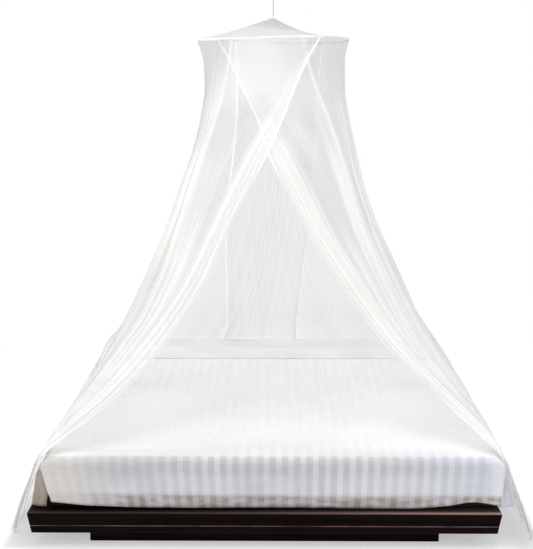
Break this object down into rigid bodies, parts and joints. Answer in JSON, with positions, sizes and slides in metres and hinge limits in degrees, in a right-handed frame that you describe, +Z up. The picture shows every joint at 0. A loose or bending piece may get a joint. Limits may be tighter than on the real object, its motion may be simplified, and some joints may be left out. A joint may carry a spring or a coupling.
{
  "type": "mosquito net canopy with platform bed",
  "caption": "Round-hoop mosquito net hung on a cord, its two sheer curtains crossed under the hoop and drawn aside over a low made-up platform bed",
  "frame": {"origin": "on the floor, under the middle of the hoop, at the level of the plinth's underside", "axes": "+Z up; -Y is the foot of the bed, where the net opens; +X is to the right of someone who stands there"},
  "size_m": [2.3708, 2.1762, 2.44],
  "materials": {
    "net_white": "fine sheer knitted mesh",
    "tape_white": "woven cotton tape",
    "rod_white": "white coated wire",
    "steel_dark": "dull",
    "cord_white": "braided cord",
    "wood_espresso": "very dark satin stain",
    "linen_white": "plain weave cotton",
    "satin_striped": "cotton with tone-on-tone satin stripes"
  },
  "bodies": {
    "root": {"roof": "net_white", "top_loop": "tape_white", "hoop": "rod_white", "hoop_casing": "tape_white", "curtain_left": "net_white", "curtain_right": "net_white", "front_binding_left": "tape_white", "front_binding_right": "tape_white", "rear_binding_left": "tape_white", "rear_binding_right": "tape_white", "top_ring": "steel_dark", "hanging_cord": "cord_white", "ceiling_hook": "steel_dark", "ceiling_plate": "steel_dark", "base_top": "wood_espresso", "base_lower": "wood_espresso", "plinth": "wood_espresso", "mattress": "linen_white", "turned_sheet": "linen_white", "bedspread": "satin_striped"}
  },
  "joints": []
}
